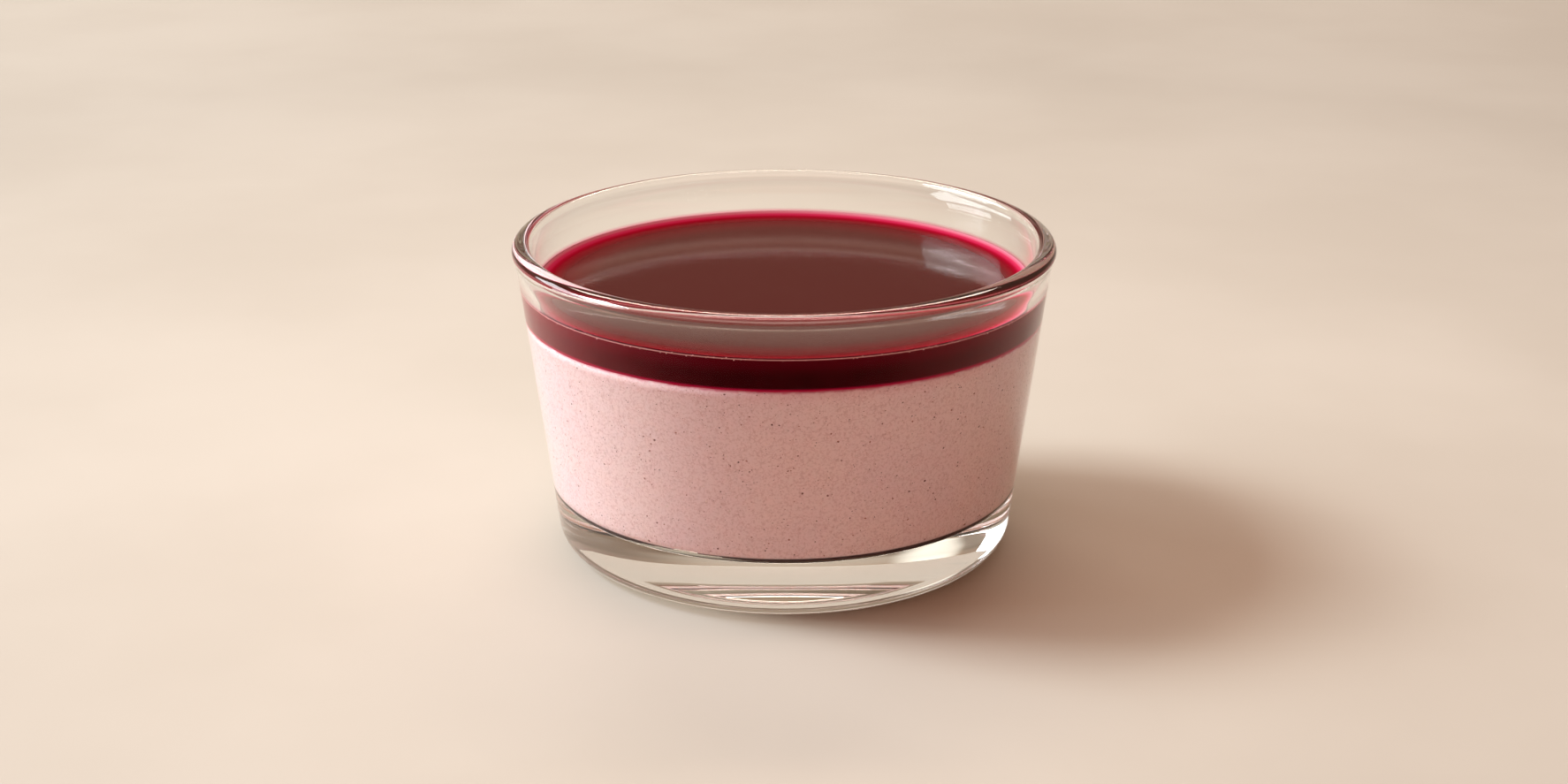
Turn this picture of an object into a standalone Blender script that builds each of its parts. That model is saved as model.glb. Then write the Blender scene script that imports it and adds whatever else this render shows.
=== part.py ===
"""A portion of panna cotta in the thick glass pot that it was set in, under a layer of berry coulis.

Three turned solids stand round one axis: the glass pot, the speckled cream that fills most of it,
and the coulis poured over the cream. Units are metres and +Z is up. The origin is the middle of the
pot's foot, on the surface that it stands on.
"""

import math

import bpy

# The glass pot.
HEIGHT = 0.0500
RIM_RADIUS = 0.0425
WALL_RADIUS_AT_FOOT = 0.0359
WALL_RADIUS_AT_RIM = 0.0423
WALL_THICKNESS = 0.0026
FLOOR_THICKNESS = 0.0092
HEEL_RADIUS = 0.0045
CORNER_RADIUS = 0.0022
LIP_INNER_WIDTH = 0.0010
LIP_OUTER_WIDTH = 0.0020
LIP_HALF_HEIGHT = 0.0014
LIP_UNDERCUT = math.radians(20)
LIP_BLEND_DROP = 0.0030
FOOT_RING_WIDTH = 0.0030
PUNT_DEPTH = 0.0015

# What it holds.
CREAM_TOP = 0.0380
COULIS_TOP = 0.0424
MENISCUS_RISE = 0.0009
MENISCUS_WIDTH = 0.0010

# The clearance between one solid and the next.
GAP = 0.0003

# How finely the round shapes are divided.
TURN_STEPS = 80
CORNER_STEPS = 4
LIP_STEPS = 5
BLEND_STEPS = 4
PUNT_STEPS = 5
MENISCUS_STEPS = 5

WALL_SLOPE = (WALL_RADIUS_AT_RIM - WALL_RADIUS_AT_FOOT) / HEIGHT
WALL_LEAN = math.atan(WALL_SLOPE)
MERGE_DISTANCE = 0.00001


def wall_radius(height, inset=0.0):
    """The radius of the pot's flaring outer wall at a height, or of a surface that lies inset inside it."""
    return WALL_RADIUS_AT_FOOT + WALL_SLOPE * height - inset


def arc(centre, half_width, half_height, start, end, steps):
    """Points along an arc of an ellipse round centre, from one angle to another, both ends included."""
    angles = [start + (end - start) * step / steps for step in range(steps + 1)]
    return [(centre[0] + half_width * math.cos(a), centre[1] + half_height * math.sin(a)) for a in angles]


def quadratic(start, control, end, steps):
    """Points along a quadratic curve, without its two ends."""
    points = []
    for step in range(1, steps):
        t = step / steps
        weights = ((1 - t) ** 2, 2 * t * (1 - t), t ** 2)
        points.append(tuple(sum(w * p[i] for w, p in zip(weights, (start, control, end))) for i in (0, 1)))
    return points


def rounded_foot(base, inset, radius):
    """The arc that joins a level base to a wall, from the base outwards and up."""
    centre_height = base + radius
    centre_radius = wall_radius(centre_height, inset) - radius / math.cos(WALL_LEAN)
    return arc((centre_radius, centre_height), radius, radius, -math.pi / 2, -WALL_LEAN, CORNER_STEPS)


def lip():
    """The rim, from the inner wall over a crown that leans inwards and back into the outer wall."""
    centre = (RIM_RADIUS - LIP_OUTER_WIDTH, HEIGHT - LIP_HALF_HEIGHT)
    inner = arc(centre, LIP_INNER_WIDTH, LIP_HALF_HEIGHT, math.pi, math.pi / 2, LIP_STEPS)
    outer = arc(centre, LIP_OUTER_WIDTH, LIP_HALF_HEIGHT, math.pi / 2, -LIP_UNDERCUT, 2 * LIP_STEPS)
    below = outer[-1][1] - LIP_BLEND_DROP
    landing = (wall_radius(below), below)
    control_height = (outer[-1][1] + below) / 2
    control = (wall_radius(control_height), control_height)
    return [*inner, *outer[1:], *quadratic(outer[-1], control, landing, BLEND_STEPS), landing]


def punt(ring_inner_radius):
    """The shallow dome under the pot, from the foot ring in to the axis."""
    shares = [1 - step / PUNT_STEPS for step in range(PUNT_STEPS + 1)]
    return [(ring_inner_radius * share, PUNT_DEPTH * (1 - share ** 2)) for share in shares]


def meniscus(level, edge_radius):
    """The surface of the coulis, from the axis out to where it climbs the glass."""
    points = [(0.0, level)]
    for step in range(MENISCUS_STEPS + 1):
        share = 1 - step / MENISCUS_STEPS
        inwards = 3 * MENISCUS_WIDTH * share ** 2
        rise = MENISCUS_RISE * math.exp(-inwards / MENISCUS_WIDTH)
        points.append((edge_radius - inwards, level + rise))
    return points


def pot_outline():
    """From the middle of the inner floor, up the inside, over the lip, and down the outside."""
    inside = rounded_foot(FLOOR_THICKNESS, WALL_THICKNESS, CORNER_RADIUS)
    heel = rounded_foot(0.0, 0.0, HEEL_RADIUS)[::-1]
    ring_inner_radius = heel[-1][0] - FOOT_RING_WIDTH
    return [(0.0, FLOOR_THICKNESS), *inside, *lip(), *heel, *punt(ring_inner_radius)]


def cream_outline():
    """The set cream, from the middle of its level top down to the rounded corner of the pot's floor."""
    inset = WALL_THICKNESS + GAP
    corner = rounded_foot(FLOOR_THICKNESS + GAP, inset, CORNER_RADIUS - GAP)[::-1]
    return [(0.0, CREAM_TOP), (wall_radius(CREAM_TOP, inset), CREAM_TOP), *corner, (0.0, FLOOR_THICKNESS + GAP)]


def coulis_outline():
    """The coulis, from the middle of its surface, up the meniscus, and down to the cream."""
    inset = WALL_THICKNESS + GAP
    base = CREAM_TOP + GAP
    surface = meniscus(COULIS_TOP, wall_radius(COULIS_TOP + MENISCUS_RISE, inset))
    return [*surface, (wall_radius(base, inset), base), (0.0, base)]


def material(name, colour, roughness, transmission=0.0):
    """A Principled material that isn't metallic."""
    made = bpy.data.materials.new(name)
    made.use_nodes = True
    shader = made.node_tree.nodes["Principled BSDF"]
    shader.inputs["Base Color"].default_value = (*colour, 1.0)
    shader.inputs["Metallic"].default_value = 0.0
    shader.inputs["Roughness"].default_value = roughness
    shader.inputs["Transmission Weight"].default_value = transmission
    return made


def turned(name, outline, finish, collection):
    """A solid turned round the Z axis from its outline, which runs down its outer side."""
    mesh = bpy.data.meshes.new(name)
    edges = [(i, i + 1) for i in range(len(outline) - 1)]
    mesh.from_pydata([(radius, 0.0, height) for radius, height in outline], edges, [])
    mesh.materials.append(finish)
    solid = bpy.data.objects.new(name, mesh)
    collection.objects.link(solid)
    turn = solid.modifiers.new("Turn", "SCREW")
    turn.axis = "Z"
    turn.angle = 2 * math.pi
    turn.steps = TURN_STEPS
    turn.render_steps = TURN_STEPS
    turn.use_merge_vertices = True
    turn.merge_threshold = MERGE_DISTANCE
    turn.use_smooth_shade = True
    return solid


def main():
    for old in list(bpy.data.objects):
        bpy.data.objects.remove(old)
    collection = bpy.data.collections.new("panna_cotta")
    bpy.context.scene.collection.children.link(collection)

    glass = material("clear_glass", (0.95, 0.96, 0.95), 0.02, transmission=1.0)
    cream = material("berry_cream", (0.62, 0.36, 0.34), 0.45)
    coulis = material("berry_coulis", (0.05, 0.003, 0.010), 0.06)

    turned("glass_pot", pot_outline(), glass, collection)
    turned("cream_layer", cream_outline(), cream, collection)
    turned("coulis_layer", coulis_outline(), coulis, collection)


main()
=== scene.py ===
"""The looks of a panna cotta in its glass pot, under a layer of berry coulis.

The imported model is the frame: a glass pot, the set cream and the coulis, all turned round Z. Each is
replaced here by a finer mesh of the same form, and the coulis also leaves a thin film on the glass above
it. The small things are added to them: dark flecks and pale specks in the cream, and the bubbles that
cling to the glass round the edge of the coulis. Lengths are in metres.
"""

import math
import random

import bpy
import bmesh
from mathutils import Euler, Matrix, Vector

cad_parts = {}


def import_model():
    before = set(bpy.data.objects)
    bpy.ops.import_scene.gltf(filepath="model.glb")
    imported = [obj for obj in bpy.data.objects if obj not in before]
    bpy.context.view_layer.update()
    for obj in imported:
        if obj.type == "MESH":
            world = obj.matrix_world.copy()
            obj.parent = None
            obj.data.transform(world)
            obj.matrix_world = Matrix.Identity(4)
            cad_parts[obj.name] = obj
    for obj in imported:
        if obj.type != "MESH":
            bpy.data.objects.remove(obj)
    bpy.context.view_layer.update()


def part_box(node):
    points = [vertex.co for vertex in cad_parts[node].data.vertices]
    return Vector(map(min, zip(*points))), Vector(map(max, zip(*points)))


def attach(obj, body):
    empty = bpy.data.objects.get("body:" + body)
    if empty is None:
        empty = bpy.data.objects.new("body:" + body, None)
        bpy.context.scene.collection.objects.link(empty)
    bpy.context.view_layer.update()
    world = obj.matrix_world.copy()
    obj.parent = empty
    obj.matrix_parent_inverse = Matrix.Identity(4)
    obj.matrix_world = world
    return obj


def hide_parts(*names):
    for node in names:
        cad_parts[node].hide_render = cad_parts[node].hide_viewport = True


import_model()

MM = 0.001

# ---------------------------------------------------------------------------------------------------
# Sizes. The frame gives the outer ones, and the rest repeat the pot's construction.

_, pot_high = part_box("glass_pot")
cream_low, cream_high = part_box("cream_layer")
_, coulis_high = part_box("coulis_layer")

CAD_GAP = 0.3 * MM
HEIGHT = pot_high.z
RIM_RADIUS = pot_high.x
FLOOR_THICKNESS = cream_low.z - CAD_GAP

WALL_RADIUS_AT_FOOT = 35.9 * MM
WALL_RADIUS_AT_RIM = 42.3 * MM
WALL_THICKNESS = 2.6 * MM
WALL_SLOPE = (WALL_RADIUS_AT_RIM - WALL_RADIUS_AT_FOOT) / HEIGHT
WALL_LEAN = math.atan(WALL_SLOPE)
HEEL_RADIUS = 4.5 * MM
CORNER_RADIUS = 2.2 * MM
LIP_INNER_WIDTH = 1.0 * MM
LIP_OUTER_WIDTH = 2.0 * MM
LIP_HALF_HEIGHT = 1.4 * MM
LIP_BOTTOM = HEIGHT - 2 * LIP_HALF_HEIGHT
LIP_UNDERCUT = math.radians(20)
LIP_BLEND_DROP = 3.0 * MM
FOOT_RING_WIDTH = 3.0 * MM
PUNT_DEPTH = 1.5 * MM

# The coulis climbs the glass in a meniscus, and leaves a film on it that reaches a little higher.
MENISCUS_RISE = 0.9 * MM
MENISCUS_WIDTH = 1.0 * MM
FILM_RISE = 1.3 * MM
FILM_THICKNESS = 0.03 * MM
CREAM_TOP = cream_high.z
COULIS_TOP = coulis_high.z - MENISCUS_RISE

# How far the contents reach into the glass and the coulis into the cream, so that no air shows between.
CREAM_BITE = 0.08 * MM
COULIS_BITE = 0.10 * MM
COULIS_OVERLAP = 0.05 * MM
# The cream leaves a hair of air over the pot's floor.
FLOOR_GAP = 0.03 * MM

# How finely the meshes are cut.
TURN_STEPS = 540
ARC_STEPS = 12
LIP_STEPS = 10
PUNT_STEPS = 12
SURFACE_STEPS = 36
FILM_STEPS = 6
ROW_HEIGHT = 1.5 * MM
SIDE_ROW_HEIGHT = 0.2 * MM


# ---------------------------------------------------------------------------------------------------
# Outlines: (radius, height) points from the axis, over the outside, back to the axis.

def wall_radius(height, inset=0.0):
    """The radius of the wall's outer face, or of a surface that lies inset behind it."""
    return WALL_RADIUS_AT_FOOT + WALL_SLOPE * height - inset


def arc(centre, half_width, half_height, start, end, steps):
    """Points along part of an ellipse, with its two ends."""
    angles = [start + (end - start) * step / steps for step in range(steps + 1)]
    return [(centre[0] + half_width * math.cos(a), centre[1] + half_height * math.sin(a)) for a in angles]


def quadratic(start, control, end, steps):
    """Points along a quadratic curve, without its two ends."""
    points = []
    for step in range(1, steps):
        t = step / steps
        weights = ((1 - t) ** 2, 2 * t * (1 - t), t ** 2)
        points.append(tuple(sum(w * p[i] for w, p in zip(weights, (start, control, end))) for i in (0, 1)))
    return points


def filled_in(outline, longest):
    """The outline with points added, so that no two are further apart than longest."""
    points = [outline[0]]
    for end in outline[1:]:
        start = points[-1]
        count = max(1, math.ceil(math.dist(start, end) / longest))
        for step in range(1, count + 1):
            points.append(tuple(start[i] + (end[i] - start[i]) * step / count for i in (0, 1)))
    return points


def rounded_foot(base, inset, radius):
    """The arc that joins a level base to a wall, from the base outwards and up."""
    centre_height = base + radius
    centre_radius = wall_radius(centre_height, inset) - radius / math.cos(WALL_LEAN)
    return arc((centre_radius, centre_height), radius, radius, -math.pi / 2, -WALL_LEAN, ARC_STEPS)


def lip():
    """From the inner face over the rounded lip, and in a smooth curve down to the outer face."""
    centre = (RIM_RADIUS - LIP_OUTER_WIDTH, HEIGHT - LIP_HALF_HEIGHT)
    inner = arc(centre, LIP_INNER_WIDTH, LIP_HALF_HEIGHT, math.pi, math.pi / 2, LIP_STEPS)
    outer = arc(centre, LIP_OUTER_WIDTH, LIP_HALF_HEIGHT, math.pi / 2, -LIP_UNDERCUT, 2 * LIP_STEPS)
    below = outer[-1][1] - LIP_BLEND_DROP
    landing = (wall_radius(below), below)
    control_height = (outer[-1][1] + below) / 2
    control = (wall_radius(control_height), control_height)
    return [*inner, *outer[1:], *quadratic(outer[-1], control, landing, LIP_STEPS), landing]


def punt(ring_inner_radius):
    """The shallow hollow under the pot, from the foot ring to the axis."""
    shares = [1 - step / PUNT_STEPS for step in range(PUNT_STEPS + 1)]
    return [(ring_inner_radius * share, PUNT_DEPTH * (1 - share ** 2)) for share in shares]


def pot_outline():
    inside = rounded_foot(FLOOR_THICKNESS, WALL_THICKNESS, CORNER_RADIUS)
    heel = rounded_foot(0.0, 0.0, HEEL_RADIUS)[::-1]
    base = punt(heel[-1][0] - FOOT_RING_WIDTH)
    return filled_in([(0.0, FLOOR_THICKNESS), *inside, *lip(), *heel, *base], ROW_HEIGHT)


def cream_outline():
    inset = WALL_THICKNESS - CREAM_BITE
    base = FLOOR_THICKNESS + FLOOR_GAP
    corner = rounded_foot(base, inset, CORNER_RADIUS + CREAM_BITE)[::-1]
    rim = (wall_radius(CREAM_TOP, inset), CREAM_TOP)
    return filled_in([(0.0, CREAM_TOP), rim, *corner, (0.0, base)], ROW_HEIGHT)


def coulis_surface():
    """From the axis out to where the coulis climbs the glass, and up the thin film that it leaves there."""
    inset = WALL_THICKNESS + FILM_THICKNESS
    edge = wall_radius(COULIS_TOP + MENISCUS_RISE, inset)
    points = []
    for step in range(SURFACE_STEPS + 1):
        inwards = edge * (1 - step / SURFACE_STEPS) ** 2
        points.append((edge - inwards, COULIS_TOP + MENISCUS_RISE * math.exp(-inwards / MENISCUS_WIDTH)))
    for step in range(1, FILM_STEPS + 1):
        height = COULIS_TOP + MENISCUS_RISE + (FILM_RISE - MENISCUS_RISE) * step / FILM_STEPS
        points.append((wall_radius(height, inset), height))
    return points


def coulis_outline():
    inset = WALL_THICKNESS - COULIS_BITE
    surface = coulis_surface()
    top = surface[-1][1]
    base = CREAM_TOP - COULIS_OVERLAP
    side = filled_in([(wall_radius(top, inset), top), (wall_radius(base, inset), base)], SIDE_ROW_HEIGHT)
    underside = filled_in([side[-1], (0.0, base)], ROW_HEIGHT)
    return [*surface, *side, *underside[1:]]


# ---------------------------------------------------------------------------------------------------
# Meshes.

def waves(seed, count, most_turns, tallest, size):
    """A smooth function of angle and height, of about size either way, that closes round the turn."""
    draw = random.Random(seed)
    parts = [
        (draw.randint(1, most_turns), draw.uniform(-tallest, tallest), draw.uniform(0, 2 * math.pi))
        for _ in range(count)
    ]
    scale = size / math.sqrt(count)
    return lambda angle, height: scale * sum(math.sin(n * angle + k * height + at) for n, k, at in parts)


def finished(name, verts, faces, materials):
    """The object made of points and faces, shaded smooth."""
    mesh = bpy.data.meshes.new(name)
    mesh.from_pydata(verts, [], faces)
    mesh.shade_smooth()
    for material in materials:
        mesh.materials.append(material)
    piece = bpy.data.objects.new(name, mesh)
    bpy.context.scene.collection.objects.link(piece)
    return piece


def turned(name, outline, materials, offset=None, slot_of_row=None):
    """A closed mesh turned round Z from an outline that runs down its outer side.

    offset gives how far the point at a radius, height and angle moves outwards and up. slot_of_row
    gives the material slot of the row of faces between two points of the outline.
    """
    verts, rings = [], []
    for radius, height in outline:
        steps = TURN_STEPS if radius > 0 else 1
        rings.append(range(len(verts), len(verts) + steps))
        for step in range(steps):
            angle = 2 * math.pi * step / TURN_STEPS
            outwards, up = offset(radius, height, angle) if offset else (0.0, 0.0)
            reach = radius + outwards
            verts.append((reach * math.cos(angle), reach * math.sin(angle), height + up))
    faces, slots = [], []
    for row, (ring, below) in enumerate(zip(rings, rings[1:])):
        slot = slot_of_row(outline[row], outline[row + 1]) if slot_of_row else 0
        for step in range(TURN_STEPS):
            after = step + 1
            corners = (below[step % len(below)], below[after % len(below)])
            corners += (ring[after % len(ring)], ring[step % len(ring)])
            faces.append(tuple(dict.fromkeys(corners)))
            slots.append(slot)
    piece = finished(name, verts, faces, materials)
    piece.data.polygons.foreach_set("material_index", slots)
    return piece


def scattered(name, material, spots, detail):
    """Many small blobs as one mesh. Each spot is a centre, three half-widths, a turn and an unevenness."""
    template = bmesh.new()
    bmesh.ops.create_icosphere(template, subdivisions=detail, radius=1.0)
    ball = [vert.co.copy() for vert in template.verts]
    skin = [tuple(vert.index for vert in face.verts) for face in template.faces]
    template.free()
    draw = random.Random(name)
    verts, faces = [], []
    for centre, halves, turn, uneven in spots:
        start = len(verts)
        matrix = turn.to_matrix()
        for point in ball:
            lump = 1 + draw.uniform(-uneven, uneven)
            verts.append(centre + matrix @ Vector([lump * half * c for half, c in zip(halves, point)]))
        faces += [tuple(start + corner for corner in face) for face in skin]
    return finished(name, verts, faces, [material])


# ---------------------------------------------------------------------------------------------------
# Shader nodes.

def new_tree(name):
    material = bpy.data.materials.new(name)
    material.use_nodes = True
    return material, material.node_tree, material.node_tree.nodes["Principled BSDF"]


def rgba(colour):
    return (*colour, 1.0)


def put(tree, value, target):
    """Link a socket to an input, or set the input's own value. A plain colour is three numbers."""
    if isinstance(value, bpy.types.NodeSocket):
        tree.links.new(value, target)
    elif target.type == "RGBA":
        target.default_value = rgba(value)
    else:
        target.default_value = value


def feed(tree, made, key, value):
    put(tree, value, made.inputs[key])


def node(tree, kind, properties=None, **inputs):
    """A shader node with its properties set and its inputs fed."""
    made = tree.nodes.new(kind)
    for key, value in (properties or {}).items():
        setattr(made, key, value)
    for key, value in inputs.items():
        feed(tree, made, key.replace("_", " "), value)
    return made


def position(tree):
    return node(tree, "ShaderNodeTexCoord").outputs["Object"]


def height_of(tree):
    return node(tree, "ShaderNodeSeparateXYZ", Vector=position(tree)).outputs["Z"]


def vector_maths(tree, operation, first, second=(0.0, 0.0, 0.0), output="Vector"):
    made = node(tree, "ShaderNodeVectorMath", {"operation": operation})
    put(tree, first, made.inputs[0])
    put(tree, second, made.inputs[1])
    return made.outputs[output]


def reach_of(tree):
    """The distance from the Z axis."""
    flat = vector_maths(tree, "MULTIPLY", position(tree), (1.0, 1.0, 0.0))
    return vector_maths(tree, "LENGTH", flat, output="Value")


def noise(tree, scale, detail=3.0, roughness=0.5):
    made = node(tree, "ShaderNodeTexNoise", Vector=position(tree), Scale=scale, Detail=detail,
                Roughness=roughness)
    return made.outputs["Fac"]


def between(tree, value, low, high, to_low=0.0, to_high=1.0, kind="SMOOTHSTEP"):
    """The value as it goes from low to high, mapped to go from to_low to to_high and held outside."""
    made = node(tree, "ShaderNodeMapRange", {"interpolation_type": kind}, Value=value)
    for key, number in (("From Min", low), ("From Max", high), ("To Min", to_low), ("To Max", to_high)):
        made.inputs[key].default_value = number
    return made.outputs["Result"]


def maths(tree, operation, first, second=0.0):
    made = node(tree, "ShaderNodeMath", {"operation": operation})
    put(tree, first, made.inputs[0])
    put(tree, second, made.inputs[1])
    return made.outputs[0]


def ramp(tree, value, stops):
    """The colour at a value from 0 to 1. Each stop is a place and a colour."""
    made = node(tree, "ShaderNodeValToRGB", Fac=value)
    band = made.color_ramp
    band.interpolation = "EASE"
    while len(band.elements) < len(stops):
        band.elements.new(0.5)
    for element, (place, colour) in zip(band.elements, stops):
        element.position = place
        element.color = rgba(colour)
    return made.outputs["Color"]


def mixed(tree, share, first, second, kind="MIX"):
    """The first colour, with a share of the second over it."""
    made = node(tree, "ShaderNodeMix", {"data_type": "RGBA", "blend_type": kind})
    colours = [socket for socket in made.inputs if socket.type == "RGBA"]
    for value, target in zip((share, first, second), (made.inputs[0], *colours)):
        put(tree, value, target)
    return next(socket for socket in made.outputs if socket.type == "RGBA")


def tinted(tree, colour, share, strength, tint):
    """The colour, with a tint over it wherever share is, at most by strength."""
    return mixed(tree, maths(tree, "MULTIPLY", share, strength), colour, tint)


def shader_mix(tree, share, first, second):
    made = node(tree, "ShaderNodeMixShader", Fac=share)
    tree.links.new(first, made.inputs[1])
    tree.links.new(second, made.inputs[2])
    return made.outputs[0]


def see_through(tree, colour):
    return node(tree, "ShaderNodeBsdfTransparent", Color=colour).outputs[0]


def set_surface(tree, surface):
    tree.links.new(surface, tree.nodes["Material Output"].inputs["Surface"])


# ---------------------------------------------------------------------------------------------------
# Glass.

BASE_BLEND = 1.0 * MM


def in_base(tree):
    """1 in the pot's thick base, and 0 in its wall."""
    return between(tree, height_of(tree), FLOOR_THICKNESS + BASE_BLEND, FLOOR_THICKNESS - BASE_BLEND)


def wall_gloss(tree):
    """Full gloss on the lip and the base, and little on the wall that the contents darken from inside."""
    on_lip = between(tree, height_of(tree), COULIS_TOP + MENISCUS_RISE, LIP_BOTTOM)
    glossy = maths(tree, "MAXIMUM", on_lip, in_base(tree))
    return mixed(tree, glossy, (0.05, 0.05, 0.05), (1.0, 1.0, 1.0))


def clear_glass():
    """Pressed glass, a little dimmer in the thick base.

    Lamps and soft bounced light pass straight through it to what it holds, and lose more at a slant.
    """
    material, tree, shader = new_tree("clear_glass")
    base = in_base(tree)
    feed(tree, shader, "Base Color", mixed(tree, base, (0.985, 0.99, 0.98), (0.80, 0.79, 0.77)))
    feed(tree, shader, "Transmission Weight", 1.0)
    feed(tree, shader, "IOR", 1.5)
    feed(tree, shader, "Specular Tint", wall_gloss(tree))
    feed(tree, shader, "Roughness", between(tree, noise(tree, 90.0), 0.65, 0.8, 0.0, 0.012))

    slant = node(tree, "ShaderNodeLayerWeight", Blend=0.35).outputs["Facing"]
    shade = mixed(tree, slant, (0.96, 0.96, 0.95), (0.62, 0.58, 0.53))
    shade = mixed(tree, base, shade, (0.82, 0.79, 0.74))
    open_glass = see_through(tree, shade)
    rays = node(tree, "ShaderNodeLightPath")
    surface = shader.outputs[0]
    for kind in ("Is Diffuse Ray", "Is Shadow Ray"):
        surface = shader_mix(tree, rays.outputs[kind], surface, open_glass)
    set_surface(tree, surface)
    return material


# ---------------------------------------------------------------------------------------------------
# Cream.

HALO_DEPTH = 3.0 * MM
BLEED_HALF_DEPTH = 0.25 * MM
BLEED_WAVE = 0.6 * MM
# Below these heights the cream's foot is painted dark, as painted shade in the pot's corner.
FOOT_SHADE_TOP = FLOOR_THICKNESS + 1.25 * MM
FOOT_SHADE_FULL = FLOOR_THICKNESS + 1.0 * MM


def berry_cream():
    """Pale pink set cream, mottled and grainy, which takes colour from the coulis on top of it."""
    material, tree, shader = new_tree("berry_cream")
    height = height_of(tree)
    mottle = between(tree, noise(tree, 60.0), 0.3, 0.7)
    grain = between(tree, noise(tree, 2600.0, 2.0), 0.45, 0.75)
    curd = noise(tree, 700.0, 2.0, 0.6)
    threads = between(tree, maths(tree, "ABSOLUTE", maths(tree, "SUBTRACT", curd, 0.5)), 0.03, 0.0)
    colour = mixed(tree, mottle, (0.80, 0.60, 0.65), (0.83, 0.63, 0.65))
    colour = tinted(tree, colour, threads, 0.40, (0.57, 0.32, 0.33))
    colour = tinted(tree, colour, grain, 0.35, (0.45, 0.22, 0.23))

    # Berry red shows through the top of the cream, and bleeds into it along an uneven line.
    halo = between(tree, height, CREAM_TOP - HALO_DEPTH, CREAM_TOP)
    colour = tinted(tree, colour, halo, 0.18, (0.70, 0.22, 0.32))
    uneven_height = maths(tree, "ADD", height, maths(tree, "MULTIPLY", curd, BLEED_WAVE))
    bleed = between(tree, uneven_height, CREAM_TOP - BLEED_HALF_DEPTH, CREAM_TOP + BLEED_HALF_DEPTH)
    colour = tinted(tree, colour, bleed, 0.9, (0.55, 0.02, 0.10))

    # Painted shade: the cream's lowest edge, in the pot's corner, is dark, and shows through the base as a
    # line.
    painted_foot_shade = between(tree, height, FOOT_SHADE_TOP, FOOT_SHADE_FULL)
    feed(tree, shader, "Base Color", mixed(tree, painted_foot_shade, colour, (0.05, 0.010, 0.010)))
    feed(tree, shader, "Roughness", between(tree, mottle, 0.0, 1.0, 0.56, 0.62))
    feed(tree, shader, "Specular IOR Level", 1.0)
    feed(tree, shader, "Subsurface Weight", 0.5)
    feed(tree, shader, "Subsurface Radius", (1.0, 0.45, 0.35))
    feed(tree, shader, "Subsurface Scale", 2.0 * MM)
    feed(tree, shader, "Normal", node(tree, "ShaderNodeBump", Height=grain, Distance=0.01 * MM).outputs[0])
    return material


# ---------------------------------------------------------------------------------------------------
# Coulis.

# How far in from the glass the painted crimson glow reaches, and over which the gloss rises.
EDGE_GLOW_WIDTH = 10.0 * MM
SURFACE_SOLID_TO = COULIS_TOP + 0.65 * MM
SURFACE_CLEAR_FROM = COULIS_TOP + 0.85 * MM
SIDE_SOLID_TO = COULIS_TOP + 0.58 * MM
SIDE_CLEAR_FROM = COULIS_TOP + 0.70 * MM
SIDE_CREST_FROM = COULIS_TOP + 0.40 * MM
SIDE_CREST_TO = COULIS_TOP + 0.55 * MM
SIDE_DARK_TO = CREAM_TOP + 2.0 * MM
SIDE_FOOT_TOP = CREAM_TOP + 0.5 * MM
FILM_PALES_FROM = COULIS_TOP + 0.5 * MM
FILM_TOP = COULIS_TOP + FILM_RISE


def thinning(tree, shader, height, solid_to, clear_from):
    """Above its edge the coulis is only a clear red film on the glass, and it pales upwards."""
    paleness = between(tree, height, FILM_PALES_FROM, FILM_TOP, kind="LINEAR")
    film = see_through(tree, ramp(tree, paleness, [
        (0.0, (0.92, 0.32, 0.50)),
        (0.3, (0.96, 0.60, 0.71)),
        (0.55, (0.99, 0.82, 0.87)),
        (1.0, (1.0, 1.0, 1.0)),
    ]))
    set_surface(tree, shader_mix(tree, between(tree, height, solid_to, clear_from), shader.outputs[0], film))


def berry_coulis():
    """The open surface: nearly black, with a painted crimson glow near the glass, and its own paler colour
    at the thin edge.
    """
    material, tree, shader = new_tree("berry_coulis")
    edge = wall_radius(COULIS_TOP, WALL_THICKNESS)
    inwards = between(tree, reach_of(tree), edge, edge - EDGE_GLOW_WIDTH, kind="LINEAR")
    # Painted glow: crimson near the glass for light that shines in through the wall, fading inwards to near
    # black.
    colour = ramp(tree, inwards, [
        (0.0, (0.45, 0.007, 0.036)),
        (0.10, (0.26, 0.002, 0.012)),
        (0.20, (0.17, 0.002, 0.008)),
        (0.40, (0.10, 0.002, 0.005)),
        (1.0, (0.056, 0.002, 0.003)),
    ])

    # It pales as it climbs the glass, where it thins, and painted light shining through the thin edge adds
    # to that.
    height = height_of(tree)
    climb = between(tree, height, COULIS_TOP, COULIS_TOP + MENISCUS_RISE, kind="LINEAR")
    crest_glow = ramp(tree, climb, [
        (0.20, (0.28, 0.003, 0.018)),
        (0.42, (0.42, 0.018, 0.062)),
        (0.66, (0.52, 0.11, 0.17)),
        (0.88, (0.58, 0.24, 0.29)),
    ])
    feed(tree, shader, "Base Color", mixed(tree, between(tree, climb, 0.08, 0.34), colour, crest_glow))
    feed(tree, shader, "Roughness", between(tree, noise(tree, 120.0), 0.3, 0.7, 0.080, 0.100))
    feed(tree, shader, "IOR", 1.35)
    feed(tree, shader, "Specular IOR Level", between(tree, inwards, 0.15, 0.9, 0.0, 0.45))
    thinning(tree, shader, height, SURFACE_SOLID_TO, SURFACE_CLEAR_FROM)
    return material


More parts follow.
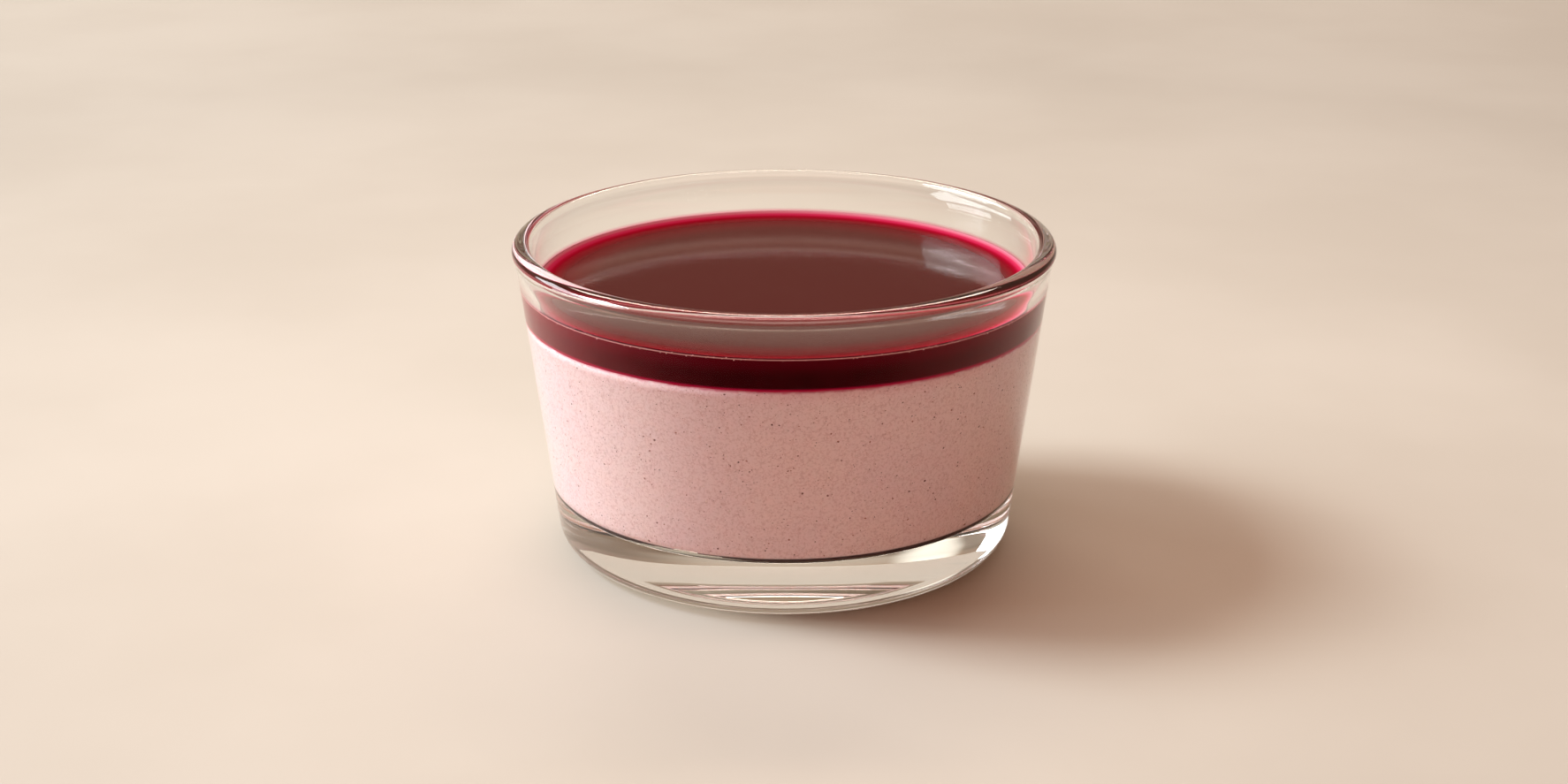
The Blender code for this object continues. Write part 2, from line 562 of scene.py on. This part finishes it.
def coulis_behind_glass():
    """The side of the coulis. It is wet to the glass, so it has no gloss, only a red sheen at a slant."""
    material, tree, shader = new_tree("coulis_behind_glass")
    height = height_of(tree)
    cloud = between(tree, noise(tree, 180.0), 0.3, 0.7)
    colour = mixed(tree, cloud, (0.026, 0.0006, 0.0012), (0.040, 0.0008, 0.0024))
    # Painted glow: the side turns redder towards the top, for light that reaches in through the open
    # surface.
    painted_top_glow = between(tree, height, SIDE_DARK_TO, SIDE_CREST_FROM)
    colour = tinted(tree, colour, painted_top_glow, 0.7, (0.11, 0.001, 0.008))
    foot = between(tree, height, SIDE_FOOT_TOP, CREAM_TOP)
    colour = mixed(tree, foot, colour, (0.42, 0.004, 0.05))
    # A pinkish line at the crest: the thin meniscus's own paler colour, with painted light shining through
    # it.
    crest_glow = between(tree, height, SIDE_CREST_FROM, SIDE_CREST_TO)
    feed(tree, shader, "Base Color", mixed(tree, crest_glow, colour, (0.66, 0.30, 0.32)))
    feed(tree, shader, "Roughness", 0.3)
    feed(tree, shader, "Specular IOR Level", 0.0)

    # The sheen grows with the slant, and is gone again at the steep slants that the lip bends into view.
    slant = node(tree, "ShaderNodeLayerWeight", Blend=0.5).outputs["Facing"]
    growing = between(tree, slant, 0.05, 0.30, 0.0, 0.65, kind="LINEAR")
    ending = between(tree, slant, 0.46, 0.36)
    feed(tree, shader, "Sheen Weight", maths(tree, "MULTIPLY", growing, ending))
    feed(tree, shader, "Sheen Roughness", 0.8)
    feed(tree, shader, "Sheen Tint", (1.0, 0.10, 0.14))
    thinning(tree, shader, height, SIDE_SOLID_TO, SIDE_CLEAR_FROM)
    return material


# ---------------------------------------------------------------------------------------------------
# Flecks, specks and bubbles.

def fleck_skin():
    material, tree, shader = new_tree("berry_skin_flecks")
    tint = between(tree, noise(tree, 900.0, 0.0), 0.3, 0.7)
    feed(tree, shader, "Base Color", mixed(tree, tint, (0.15, 0.06, 0.06), (0.46, 0.22, 0.20)))
    feed(tree, shader, "Roughness", 0.6)
    feed(tree, shader, "Specular IOR Level", 0.1)
    return material


def bubble_skin(name, colour):
    material, tree, shader = new_tree(name)
    tint = between(tree, noise(tree, 1500.0, 0.0), 0.3, 0.7)
    feed(tree, shader, "Base Color", mixed(tree, tint, colour, tuple(0.8 * c for c in colour)))
    feed(tree, shader, "Roughness", 0.12)
    return material


# ---------------------------------------------------------------------------------------------------
# Pieces.

# What lies deeper than this behind the pot's outer face is its floor, and not its wall.
WALL_ZONE = 1.5 * WALL_THICKNESS
WOBBLE_FADE = 4 * MM
# Specks lie between these heights, and their sizes spread about a middle one. The rest are shares of a
# speck's half-width.
SPECKS_FROM = FLOOR_THICKNESS + 1.5 * MM
SPECKS_TO = CREAM_TOP - 0.3 * MM
SPECK_SPREAD = 0.45
SPECK_THICKNESS = 0.35
SPECK_NARROWEST = 0.5
SPECK_SINK = 0.1
SPECK_UNEVENNESS = 0.25
EDGE_BUBBLE_SEED = 8
EDGE_BUBBLE_COUNT = 240
EDGE_BUBBLE_SMALLEST = 0.05 * MM
EDGE_BUBBLE_LARGEST = 0.13 * MM
EDGE_BUBBLES_FROM = COULIS_TOP + 0.35 * MM
EDGE_BUBBLES_TO = COULIS_TOP + 0.70 * MM


def place(piece, slot, *nodes):
    """The piece rides on the part's one body, and stands for the CAD nodes given."""
    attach(piece, "root")
    if nodes:
        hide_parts(*nodes)


def pot():
    """The glass. Its wall is a little uneven, and its lip, heel and floor are true."""
    wobble = waves(seed=11, count=7, most_turns=9, tallest=90.0, size=0.02 * MM)
    wall_top = LIP_BOTTOM - LIP_BLEND_DROP

    def offset(radius, height, angle):
        in_wall = HEEL_RADIUS <= height <= wall_top and radius >= wall_radius(height, WALL_ZONE)
        if not in_wall:
            return 0.0, 0.0
        fade = min(1.0, (height - HEEL_RADIUS) / WOBBLE_FADE, (wall_top - height) / WOBBLE_FADE)
        return fade * wobble(angle, height), 0.0

    piece = turned("pot", pot_outline(), [clear_glass()], offset)
    place(piece, "clear_glass", "glass_pot")


def cream():
    piece = turned("set_cream", cream_outline(), [berry_cream()])
    place(piece, "berry_cream", "cream_layer")


def coulis():
    """The coulis. Its foot meets the cream in a slightly wavy line."""
    uneven = waves(seed=5, count=9, most_turns=40, tallest=0.0, size=0.05 * MM)

    def offset(radius, height, angle):
        at_foot = height < CREAM_TOP and radius > RIM_RADIUS / 2
        return 0.0, uneven(angle, 0.0) if at_foot else 0.0

    def slot_of_row(start, end):
        """The rows that run downwards are the side, and take the second finish."""
        return int(end[1] < start[1])

    finishes = [berry_coulis(), coulis_behind_glass()]
    piece = turned("coulis", coulis_outline(), finishes, offset, slot_of_row)
    place(piece, "berry_coulis", "coulis_layer")


def on_wall(angle, height, inset):
    radius = wall_radius(height, inset)
    return Vector((radius * math.cos(angle), radius * math.sin(angle), height))


def specks(name, material, seed, count, middle, most):
    """Specks in the cream, seen where they lie against the glass. Sizes are half-widths."""
    draw = random.Random(seed)
    spots = []
    for _ in range(count):
        height = draw.uniform(SPECKS_FROM, SPECKS_TO)
        angle = draw.uniform(0, 2 * math.pi)
        size = min(most, draw.lognormvariate(math.log(middle), SPECK_SPREAD))
        halves = (SPECK_THICKNESS * size, size * draw.uniform(SPECK_NARROWEST, 1.0), size)
        turn = Euler((draw.uniform(0, math.pi), 0, 0))
        turn.rotate(Euler((0, 0, angle)))
        centre = on_wall(angle, height, WALL_THICKNESS - CREAM_BITE + SPECK_SINK * size)
        spots.append((centre, halves, turn, SPECK_UNEVENNESS))
    place(scattered(name, material, spots, detail=1), "berry_cream")


def edge_bubbles():
    """Small bubbles that cling to the glass where the surface of the coulis meets it."""
    draw = random.Random(EDGE_BUBBLE_SEED)
    spots = []
    for _ in range(EDGE_BUBBLE_COUNT):
        angle = draw.uniform(0, 2 * math.pi)
        size = draw.uniform(EDGE_BUBBLE_SMALLEST, EDGE_BUBBLE_LARGEST)
        height = draw.uniform(EDGE_BUBBLES_FROM, EDGE_BUBBLES_TO)
        centre = on_wall(angle, height, WALL_THICKNESS - COULIS_BITE)
        spots.append((centre, (size, size, size), Euler(), 0.0))
    skin = bubble_skin("coulis_bubbles", (0.78, 0.42, 0.42))
    place(scattered("edge_bubbles", skin, spots, detail=2), "berry_coulis")


# ---------------------------------------------------------------------------------------------------
# Floor, light and camera.

FLOOR_HALF_WIDTH = 6.0
# Between these distances from the pot the floor is painted darker, as a painted falloff of light.
PAINTED_FALLOFF_FROM = 30 * MM
PAINTED_FALLOFF_TO = 350 * MM

# Soft patches of the sky, each an azimuth, an elevation and a half-width in degrees, and a colour.
GLOWS = [
    (0, 25, 75, (0.76, 0.35, 0.25)),
    (119, 22, 12, (1.5, 1.4, 1.25)),
    (135, 21, 9, (0.40, 0.32, 0.25)),
    (151, 23, 11, (1.5, 1.4, 1.2)),
    (225, 22, 32, (0.28, 0.19, 0.13)),
]

# Lamps, each a name, an azimuth and an elevation in degrees, a distance, a width, a height, a radiance
# and a colour.
SOFTBOXES = [
    ("key", 101, 42, 2.2, 0.66, 0.66, 43.0, (0.86, 0.97, 1.0)),
    ("window", 103, 29, 2.4, 2.25, 0.75, 8.0, (0.87, 0.96, 1.0)),
    ("window_low", 95, 11, 2.4, 1.2, 0.40, 6.0, (0.84, 0.94, 1.0)),
    ("back_panel", 180, 45, 1.3, 1.1, 0.16, 13.0, (1.0, 0.88, 0.74)),
    ("top_strip", 180, 88, 1.2, 0.8, 0.09, 9.0, (1.0, 0.80, 0.72)),
]

FOCAL_LENGTH_MM = 57.45
SENSOR_WIDTH_MM = 36.0
CAMERA_PLACE = (0.0, -0.3771, 0.1583)
CAMERA_TILT_DOWN = math.radians(19.62)


def compass(azimuth, elevation):
    """The way towards a part of the sky. Azimuth 0 is at -Y, on the camera's side, and 90 is at -X."""
    turn, lift = math.radians(azimuth), math.radians(elevation)
    return Vector((-math.sin(turn) * math.cos(lift), -math.cos(turn) * math.cos(lift), math.sin(lift)))


def floor():
    """A plain pale floor, a little cloudy, and painted darker away from the pot as a falloff of light."""
    material, tree, shader = new_tree("pale_floor")
    cloud = between(tree, noise(tree, 9.0, 4.0), 0.3, 0.7)
    pale = mixed(tree, cloud, (0.54, 0.475, 0.405), (0.59, 0.525, 0.455))
    # Painted falloff of light: the floor's colour darkens away from the pot.
    fade = between(tree, reach_of(tree), PAINTED_FALLOFF_FROM, PAINTED_FALLOFF_TO, 0.84, 0.60, kind="LINEAR")
    feed(tree, shader, "Base Color", mixed(tree, 1.0, pale, fade, "MULTIPLY"))
    feed(tree, shader, "Roughness", 0.75)
    signs = ((-1, -1), (1, -1), (1, 1), (-1, 1))
    corners = [(FLOOR_HALF_WIDTH * x, FLOOR_HALF_WIDTH * y, 0.0) for x, y in signs]
    finished("floor", corners, [(0, 1, 2, 3)], [material])


def world():
    """A warm sky in soft bands, with patches of other light for the glass and the coulis to reflect."""
    made = bpy.data.worlds.new("studio")
    bpy.context.scene.world = made
    made.use_nodes = True
    tree = made.node_tree
    way = node(tree, "ShaderNodeTexCoord").outputs["Generated"]
    upwards = node(tree, "ShaderNodeSeparateXYZ", Vector=way).outputs["Z"]
    sky = ramp(tree, upwards, [
        (0.0, (0.61, 0.47, 0.35)),
        (0.15, (0.48, 0.36, 0.26)),
        (0.22, (0.24, 0.17, 0.12)),
        (0.33, (0.24, 0.17, 0.12)),
        (0.37, (0.62, 0.50, 0.39)),
        (0.45, (0.48, 0.33, 0.22)),
        (0.7, (0.28, 0.16, 0.09)),
        (1.0, (0.28, 0.16, 0.09)),
    ])
    for azimuth, elevation, spread, colour in GLOWS:
        nearness = vector_maths(tree, "DOT_PRODUCT", way, compass(azimuth, elevation), output="Value")
        lobe = between(tree, nearness, math.cos(math.radians(spread)), 1.0)
        sky = mixed(tree, lobe, sky, colour)
    tree.links.new(sky, tree.nodes["Background"].inputs["Color"])


def softbox(name, azimuth, elevation, distance, width, height, radiance, colour):
    """A lamp that faces the pot."""
    way = compass(azimuth, elevation)
    light = bpy.data.lights.new(name, "AREA")
    light.shape = "RECTANGLE"
    light.size = width
    light.size_y = height
    light.energy = radiance * math.pi * width * height
    light.color = colour
    lamp = bpy.data.objects.new(name, light)
    lamp.location = Vector((0.0, 0.0, HEIGHT / 2)) + distance * way
    lamp.rotation_euler = (-way).to_track_quat("-Z", "Y").to_euler()
    bpy.context.scene.collection.objects.link(lamp)


def camera():
    lens = bpy.data.cameras.new("camera")
    lens.lens = FOCAL_LENGTH_MM
    lens.sensor_width = SENSOR_WIDTH_MM
    lens.clip_start = 0.01
    seen = bpy.data.objects.new("camera", lens)
    seen.location = CAMERA_PLACE
    seen.rotation_euler = (math.pi / 2 - CAMERA_TILT_DOWN, 0.0, 0.0)
    bpy.context.scene.collection.objects.link(seen)
    bpy.context.scene.camera = seen


def look():
    """Standard colours, no caustics, and light paths long enough for thick glass."""
    scene = bpy.context.scene
    scene.view_settings.view_transform = "Standard"
    scene.cycles.caustics_reflective = False
    scene.cycles.caustics_refractive = False
    scene.cycles.max_bounces = 24
    scene.cycles.transmission_bounces = 20
    scene.cycles.glossy_bounces = 8
    scene.cycles.transparent_max_bounces = 32


camera()
pot()
cream()
coulis()
specks("cream_flecks", fleck_skin(), seed=21, count=3600, middle=0.078 * MM, most=0.21 * MM)
specks("cream_bubbles", bubble_skin("cream_bubbles", (0.93, 0.74, 0.70)), seed=33, count=900,
       middle=0.08 * MM, most=0.18 * MM)
edge_bubbles()
floor()
world()
for box in SOFTBOXES:
    softbox(*box)
look()
